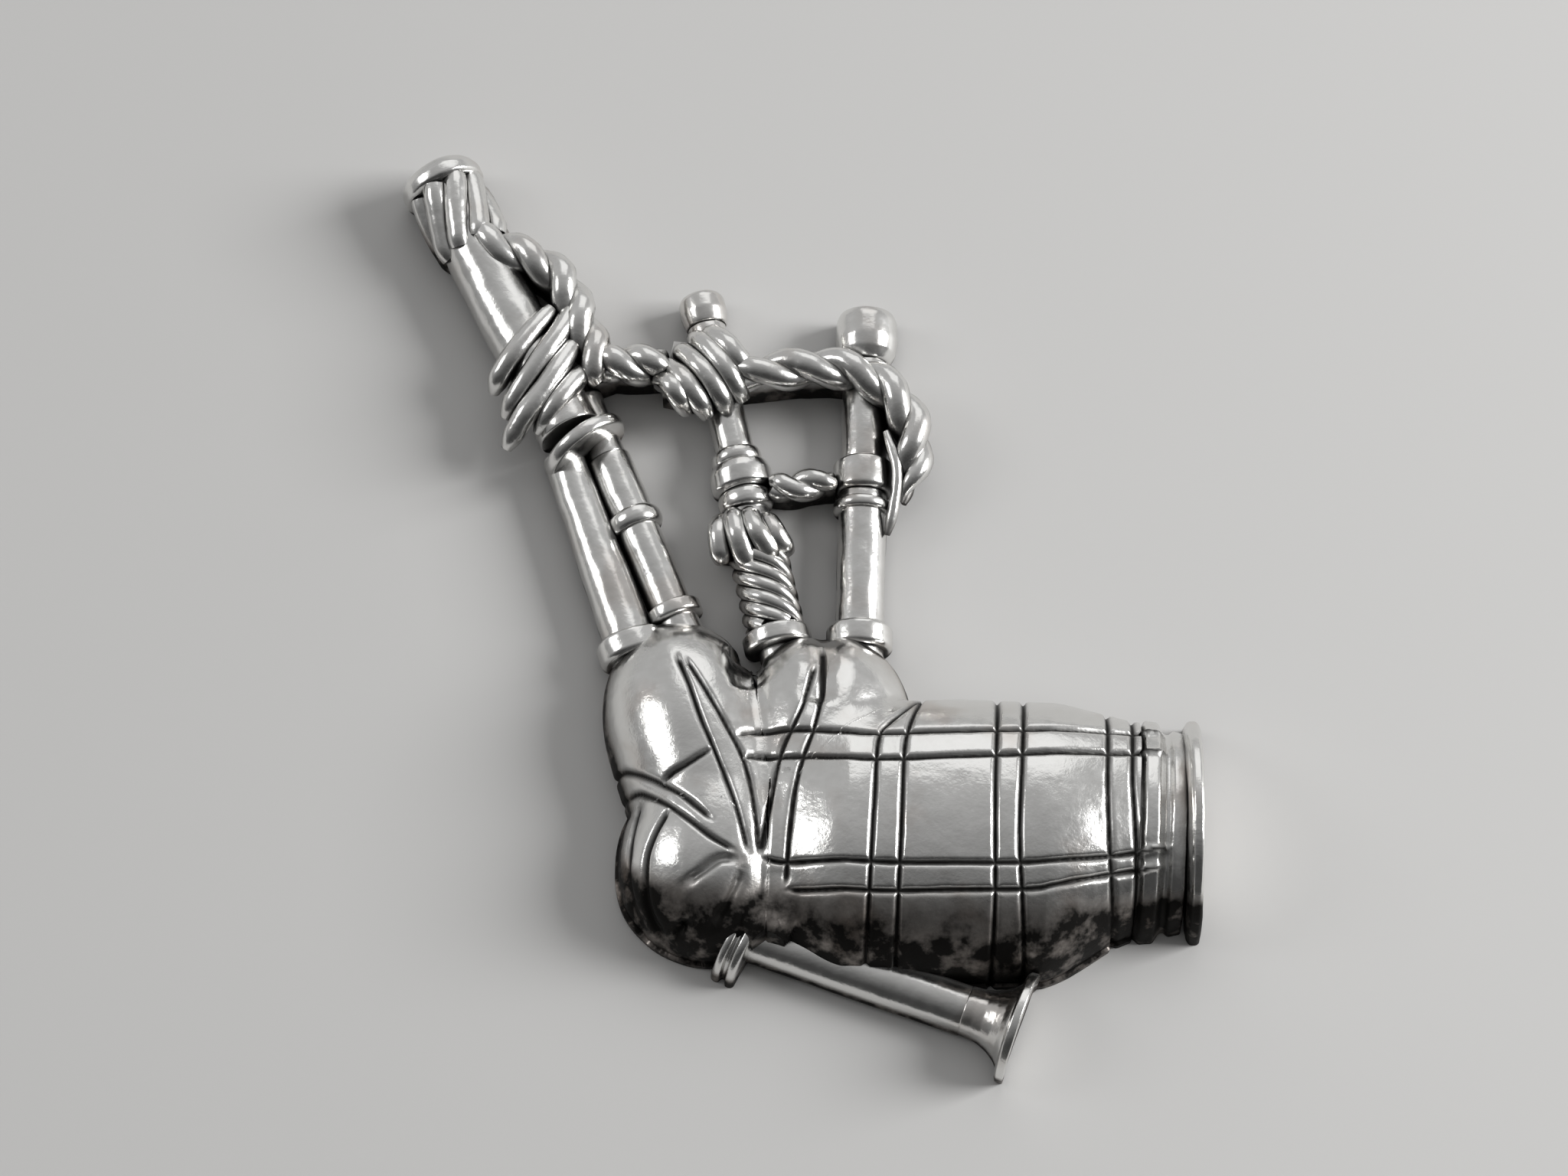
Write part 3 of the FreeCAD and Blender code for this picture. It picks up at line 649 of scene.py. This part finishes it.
# ---- pipes ----
def pipe(node, line, outline, material, rounding, dents, seed, rim=False):
    """One turned piece of a pipe, slightly dented, with or without a rim at the back."""
    shape = turned(line, outline, rounding)
    soften(shape, dents, 1.2, seed)
    if rim:
        ledge(shape, 0.16, 0.08)
    casting(node, shape, material)


def bead(start, end, inner, outer):
    """The outline of a ring with a full round edge."""
    steps = 7
    outline = [(start, 0), (start, inner)]
    for step in range(1, steps):
        angle = pi * step / steps
        outline.append(((start + end) / 2 - cos(angle) * (end - start) / 2,
                        inner + (outer - inner) * sin(angle) ** 0.7))
    return outline + [(end, inner), (end, 0)]


def collar(start, end, radius):
    """The outline of a stock's collar: a band with rounded rims."""
    length = end - start
    return [(start, 0), (start, radius - 0.1), (start + 0.14 * length, radius),
            (start + 0.86 * length, radius), (end, radius - 0.1), (end, 0)]


def double_collar(start, end, radius, groove):
    """The outline of a collar with two rims and a groove between them."""
    length = end - start
    return [(start, 0), (start, radius - 0.08), (start + 0.12 * length, radius),
            (start + 0.34 * length, radius), (start + 0.42 * length, radius - groove),
            (start + 0.58 * length, radius - groove), (start + 0.66 * length, radius),
            (start + 0.88 * length, radius), (end, radius - 0.08), (end, 0)]


def cup(start, end, neck, radius, mouth):
    """The outline of a drone's cap: it swells from the neck and has a hollow mouth."""
    length = end - start
    return [(start, 0), (start, neck), (start + 0.2 * length, radius * 0.93),
            (start + 0.45 * length, radius), (start + 0.85 * length, radius * 0.97),
            (end, radius * 0.86), (end, radius * 0.62), (end - mouth, radius * 0.5),
            (end - mouth, 0)]


def make_chanter(material):
    pipe("chanter_body", chanter, plain(-0.9, 6.35, 0.72), material, 0.06, 0.02, 11, True)
    flare = [(6.3, 0), (6.3, 0.72), (6.6, 0.735), (6.9, 0.79), (7.2, 0.91), (7.45, 1.07),
             (7.65, 1.28), (7.65, 0)]
    pipe("chanter_bell", chanter, flare, material, 0.04, 0.02, 12)
    sole = [(7.65, 0), (7.65, 1.5), (7.72, 1.63), (7.95, 1.63), (7.95, 1.4), (7.88, 1.3), (7.88, 0)]
    pipe("chanter_sole", chanter, sole, material, 0.04, 0.02, 13)
    pipe("chanter_stock_collar", stock, double_collar(0, 0.7, 1.5, 0.16), material, 0.05, 0.03, 14)


def make_bass_and_blowpipe(material):
    pipe("bass_drone_lower", bass, plain(-0.9, 6.9, 0.79, 0.6), material, 0.05, 0.03, 21, True)
    pipe("bass_stock_collar", bass, collar(0, 0.75, 1.02), material, 0.05, 0.03, 22)
    pipe("blowpipe_lower", blowpipe, plain(-0.9, 5.6, 0.64), material, 0.05, 0.03, 23, True)
    pipe("blowpipe_stock_collar", blowpipe, collar(0, 0.5, 0.85), material, 0.05, 0.03, 24)
    pipe("blowpipe_ring", blowpipe, bead(3.1, 3.7, 0.62, 0.82), material, 0.03, 0.02, 25)
    pipe("blowpipe_upper", blowpipe, plain(5.6, 7.7, 0.58), material, 0.05, 0.02, 26)
    pipe("drone_pair_ring", pair_ring, bead(-0.225, 0.225, 1.22, 1.37), material, 0.03, 0.02, 27)
    pipe("bass_drone_upper", bass_top, plain(0, 8.9, 0.97), material, 0.06, 0.04, 28, True)
    cap = [(8.85, 0), (8.85, 1.12), (8.95, 1.25), (9.25, 1.25), (9.5, 1.12), (9.65, 0.85),
           (9.65, 0.6), (9.45, 0.5), (9.45, 0)]
    pipe("bass_drone_cap", bass_top, cap, material, 0.05, 0.03, 29)


def make_tenors(material):
    pipe("tenor_1_lower", tenor_1, plain(-0.9, 5.1, 0.6), material, 0.05, 0.03, 31)
    pipe("tenor_1_stock_collar", tenor_1, collar(0, 0.6, 1.0), material, 0.05, 0.03, 32)
    pipe("tenor_1_ring", tenor_1, bead(4.5, 5.1, 0.6, 0.82), material, 0.03, 0.05, 33)
    ferrule = [(5.1, 0), (5.1, 0.72), (5.22, 0.9), (5.7, 0.93), (5.95, 0.84), (5.95, 0)]
    pipe("tenor_1_ferrule", tenor_1, ferrule, material, 0.05, 0.03, 34)
    pipe("tenor_1_bead", tenor_1, bead(5.95, 6.45, 0.58, 0.76), material, 0.03, 0.02, 35)
    pipe("tenor_1_upper", tenor_1, plain(6.45, 10.65, 0.56), material, 0.05, 0.03, 36)
    pipe("tenor_1_cap", tenor_1, cup(10.65, 11.65, 0.6, 0.7, 0.2), material, 0.05, 0.02, 37)
    pipe("tenor_2_lower", tenor_2, plain(-0.9, 5.0, 0.7), material, 0.05, 0.03, 41, True)
    pipe("tenor_2_stock_collar", tenor_2, collar(0, 0.75, 0.96), material, 0.05, 0.03, 42)
    pipe("tenor_2_ring", tenor_2, bead(4.35, 4.75, 0.7, 0.87), material, 0.03, 0.02, 43)
    ferrule = [(5.0, 0), (5.0, 0.78), (5.12, 0.88), (5.95, 0.88), (6.05, 0.76), (6.05, 0)]
    pipe("tenor_2_ferrule", tenor_2, ferrule, material, 0.05, 0.03, 44)
    pipe("tenor_2_upper", tenor_2, plain(6.05, 9.25, 0.66), material, 0.05, 0.03, 45)
    pipe("tenor_2_cap", tenor_2, cup(9.25, 10.85, 0.68, 0.93, 0.25), material, 0.06, 0.02, 46)


# ---- cords ----
def bare_curve(name):
    curve = bpy.data.curves.new(name, "CURVE")
    curve.dimensions = "3D"
    return curve


def read_curve(curve):
    """The mesh that a curve gives, with the curve put away."""
    holder = bpy.data.objects.new(curve.name, curve)
    mesh = bpy.data.meshes.new_from_object(holder)
    bpy.data.objects.remove(holder)
    bpy.data.curves.remove(curve)
    return mesh


def along_route(points, spacing=0.07):
    """Evenly spaced places along the smooth NURBS line of a cord's route."""
    curve = bare_curve("route")
    spline = curve.splines.new("NURBS")
    spline.points.add(len(points) - 1)
    for knot, place in zip(spline.points, points):
        knot.co = (*place, 1)
    spline.order_u = 3
    spline.use_endpoint_u = True
    spline.resolution_u = 16
    mesh = read_curve(curve)
    line = [vert.co.copy() for vert in mesh.vertices]
    bpy.data.meshes.remove(mesh)
    places, left = [line[0]], spacing
    for a, b in zip(line, line[1:]):
        run = (b - a).length
        while run >= left:
            places.append(a.lerp(b, left / run))
            left += spacing
        left -= run
    return places


def swell(count, radius, first, last, ends):
    """Radii along a strand that narrows to a share of its radius over the places at its ends."""
    radii = []
    for index in range(count):
        start = min(1, (index + 0.5) / ends)
        end = min(1, (count - index - 0.5) / ends)
        start = first + (1 - first) * sin(start * pi / 2)
        end = last + (1 - last) * sin(end * pi / 2)
        radii.append(radius * start * end)
    return radii


def strand(shape, places, radii):
    """Adds one round strand, with its own radius at each place, to a shape."""
    curve = bare_curve("strand")
    curve.bevel_depth, curve.bevel_resolution, curve.use_fill_caps = 1.0, 4, True
    spline = curve.splines.new("POLY")
    spline.points.add(len(places) - 1)
    for knot, place, radius in zip(spline.points, places, radii):
        knot.co, knot.radius = (*place, 1), radius
    mesh = read_curve(curve)
    shape.from_mesh(mesh)
    bpy.data.meshes.remove(mesh)


def loose_strand(shape, points, radius, first, last, ends):
    """Adds a single strand that isn't twisted with others, along its own route."""
    places = along_route(points)
    strand(shape, places, swell(len(places), radius, first, last, ends))


def laid(shape, places, count, lay, radius, pitch, start, taper, ends):
    """Twists strands round a line of places. `lay` is how far from the line each runs, `start`
    the angle that the first starts at, and `taper` how thin each end of the rope gets."""
    spacing = (places[1] - places[0]).length
    sizes = swell(len(places), 1.0, *taper, ends)
    for number in range(count):
        twisted = []
        for index, place in enumerate(places):
            ahead = places[min(index + 1, len(places) - 1)] - places[max(index - 1, 0)]
            side = UP.cross(ahead).normalized()
            angle = start + tau * number / count + tau * index * spacing / pitch
            out = side * cos(angle) + UP * sin(angle)
            twisted.append(place + out * lay * sizes[index])
        strand(shape, twisted, [radius * size for size in sizes])


def web(shape, places, width):
    """The wall of metal that a cord stands on, from just under its middle to the flat back."""
    wall = bmesh.new()
    tops = [wall.verts.new(place - UP * 0.1) for place in places]
    edges = [wall.edges.new(pair) for pair in zip(tops, tops[1:])]
    foot = bmesh.ops.extrude_edge_only(wall, edges=edges)
    for vert in foot["geom"]:
        if isinstance(vert, bmesh.types.BMVert):
            vert.co.z = BELOW_BACK
    wall.normal_update()
    for vert in wall.verts:
        vert.co -= vert.normal * width / 2
    bmesh.ops.solidify(wall, geom=wall.faces[:], thickness=-width)
    mesh = bpy.data.meshes.new("web")
    wall.to_mesh(mesh)
    wall.free()
    shape.from_mesh(mesh)
    bpy.data.meshes.remove(mesh)


def rope(node, points, material, seed, lay=0.24, radius=0.40, pitch=2.6, taper=(0.6, 0.6),
         ends=6, width=0.7, tail=0, thread=()):
    """A cast rope of two strands on its web, which stops `tail` places before the rope does.
    `thread` is the route of one loose thin strand beside it."""
    places = along_route(points)
    shape = bmesh.new()
    laid(shape, places, 2, lay, radius, pitch, 0.0, taper, ends)
    if thread:
        loose_strand(shape, thread, 0.17, 0.5, 0.4, 10)
    web(shape, places[:len(places) - tail], width)
    soften(shape, 0.03, 0.7, seed)
    # Painted shade: the cord's low parts and its web are blackened.
    paint_low_shade(shape, 0.75, 1.15)
    casting(node, shape, material)


def make_ropes(material):
    """The cord's runs, from the bass drone's top past the bow to the second tenor drone."""
    loop = [(-14.96, 18.21, 1.35), (-14.17, 17.87, 1.35), (-12.99, 17.5, 1.35), (-12.1, 16.81, 1.35),
            (-11.7, 15.9, 1.4), (-11.2, 14.7, 1.35), (-10.75, 13.7, 1.2)]
    rope("bass_cord_loop", loop, material, 51)
    short_run = [(-10.9, 14.2, 1.3), (-10.3, 14.2, 1.3), (-9.6, 14.2, 1.3), (-8.9, 14.35, 1.3)]
    rope("cord_bass_to_tenor_1", short_run, material, 52, pitch=2.0)
    arc = [(-6.95, 13.95, 1.3), (-5.8, 14.2, 1.35), (-4.6, 14.35, 1.35), (-3.4, 14.35, 1.35),
           (-2.3, 13.75, 1.3), (-1.6, 12.7, 1.2), (-1.5, 11.4, 1.0), (-1.85, 10.3, 0.8)]
    thread = [(-2.4, 12.38, 1.3), (-2.1, 11.58, 1.3), (-2.0, 10.84, 1.2), (-2.1, 9.94, 1.0),
              (-2.25, 9.24, 0.75)]
    rope("cord_tenor_1_to_2", arc, material, 53, pitch=2.9, taper=(0.8, 0.2), ends=26, tail=30,
         thread=thread)
    lower_run = [(-5.7, 10.6, 1.0), (-5.1, 10.5, 1.0), (-4.5, 10.75, 1.0), (-3.8, 10.85, 1.0)]
    rope("cord_lower_run", lower_run, material, 54, lay=0.18, radius=0.30, pitch=2.0, width=0.5)


def make_bass_cords(material):
    """The cord's end laid along the bass drone's top, and its turns lower down."""
    shape = bmesh.new()
    core = [bass_top.at(along) for along in (6.75, 7.3, 8.0, 8.6, 8.9)]
    laid(shape, along_route(core), 8, 0.86, 0.36, 14.0, 0.2, (0.9, 0.97), 5)
    soften(shape, 0.04, 0.9, 61)
    casting("bass_cord_top", shape, material)
    shape = bmesh.new()
    turns = [[(-14.0, 13.3, 0.9), (-13.77, 13.76, 1.5), (-13.14, 14.7, 1.7), (-12.45, 15.84, 1.45)],
             [(-13.6, 12.5, 0.9), (-13.2, 13.15, 1.5), (-12.45, 14.35, 1.75), (-11.9, 15.5, 1.55),
              (-11.6, 16.4, 1.1)],
             [(-13.5, 11.5, 0.9), (-13.1, 12.15, 1.5), (-12.42, 13.15, 1.75), (-11.93, 14.15, 1.65),
              (-11.55, 15.2, 1.1)],
             [(-12.6, 12.0, 1.0), (-12.2, 12.5, 1.6), (-11.7, 13.3, 1.6), (-11.3, 14.1, 1.2)]]
    for turn in turns:
        loose_strand(shape, turn, CORD_STRAND, 0.45, 0.6, 10)
    soften(shape, 0.03, 0.9, 62)
    casting("bass_cord_wrap", shape, material)


def make_bow(material):
    """Strands fanned over the first tenor drone."""
    shape = bmesh.new()
    starts = [(-9.15, 13.9), (-9.05, 14.4), (-8.65, 14.95), (-8.25, 15.4), (-7.85, 15.55)]
    ends = [(-8.29, 12.85), (-7.64, 12.75), (-7.05, 12.95), (-6.6, 13.3), (-6.4, 14.0)]
    for start, end in zip(starts, ends):
        middle = [(a + b) / 2 for a, b in zip(start, end)]
        route = [(*start, 0.9), (*[(a + b) / 2 for a, b in zip(start, middle)], 1.55),
                 (*[(a + b) / 2 for a, b in zip(middle, end)], 1.7), (*end, 1.0)]
        loose_strand(shape, route, CORD_STRAND, 0.5, 0.6, 8)
    middle_line = [(-8.9, 14.3, 1.2), (-8.2, 14.2, 1.3), (-7.4, 14.0, 1.3), (-6.7, 13.8, 1.2)]
    web(shape, along_route(middle_line), 1.7)
    soften(shape, 0.03, 0.8, 71)
    casting("cord_bow", shape, material)


def make_knot(material):
    """The knot under the first tenor drone's ring, and the cord wound on the drone below it."""
    shape = bmesh.new()
    strands = [[(-7.05, 9.6, 0.6), (-7.15, 9.2, 1.05), (-7.1, 8.6, 1.1), (-6.95, 8.15, 0.7)],
               [(-6.75, 9.7, 0.9), (-6.7, 9.2, 1.35), (-6.5, 8.6, 1.35), (-6.2, 8.0, 0.9)],
               [(-6.3, 9.7, 1.0), (-6.15, 9.2, 1.45), (-5.9, 8.8, 1.4), (-5.5, 8.3, 0.9)],
               [(-5.8, 9.6, 0.9), (-5.6, 9.2, 1.2), (-5.4, 8.9, 1.15), (-5.1, 8.6, 0.7)]]
    for route in strands:
        loose_strand(shape, route, CORD_STRAND, 0.7, 0.6, 6)
    middle_line = [(-7.1, 8.95, 0.9), (-6.5, 8.9, 1.1), (-5.9, 8.9, 1.1), (-5.3, 8.9, 0.9)]
    web(shape, along_route(middle_line), 1.0)
    soften(shape, 0.03, 0.7, 72)
    casting("cord_knot", shape, material)
    shape = bmesh.new()
    core = [tenor_1.at(along) for along in (0.62, 1.4, 2.4, 3.2, 3.6)]
    laid(shape, along_route(core), 6, 0.66, 0.22, -2.9, 0.0, (0.95, 0.95), 3)
    soften(shape, 0.02, 0.8, 73)
    casting("tenor_1_winding", shape, material)


make_camera()
make_studio()
make_floor()
finish = antique_and_shaded_casting()
# The first amount scales the recess black, antiquing and painted shade; Tide and Front Tide set how
# high the painted shade on the low flanks reaches.
bag_pewter = pewter("bag_pewter", finish, Antiquing=0.95, Warmth=0.35, Relief=0.4, Tide=0.0011,
                    Front_Tide=0.0036)
pipe_pewter = pewter("pipe_pewter", finish, Antiquing=1.0, Warmth=0.3, Relief=0.28, Tide=0.0006,
                     Front_Tide=0.0006)
cord_pewter = pewter("cord_pewter", finish, Antiquing=1.2, Warmth=0.2, Relief=0.3, Tide=0.0011)
make_bag(bag_pewter)
make_gather(bag_pewter)
make_chanter(pipe_pewter)
make_bass_and_blowpipe(pipe_pewter)
make_tenors(pipe_pewter)
make_ropes(cord_pewter)
make_bass_cords(cord_pewter)
make_bow(cord_pewter)
make_knot(cord_pewter)
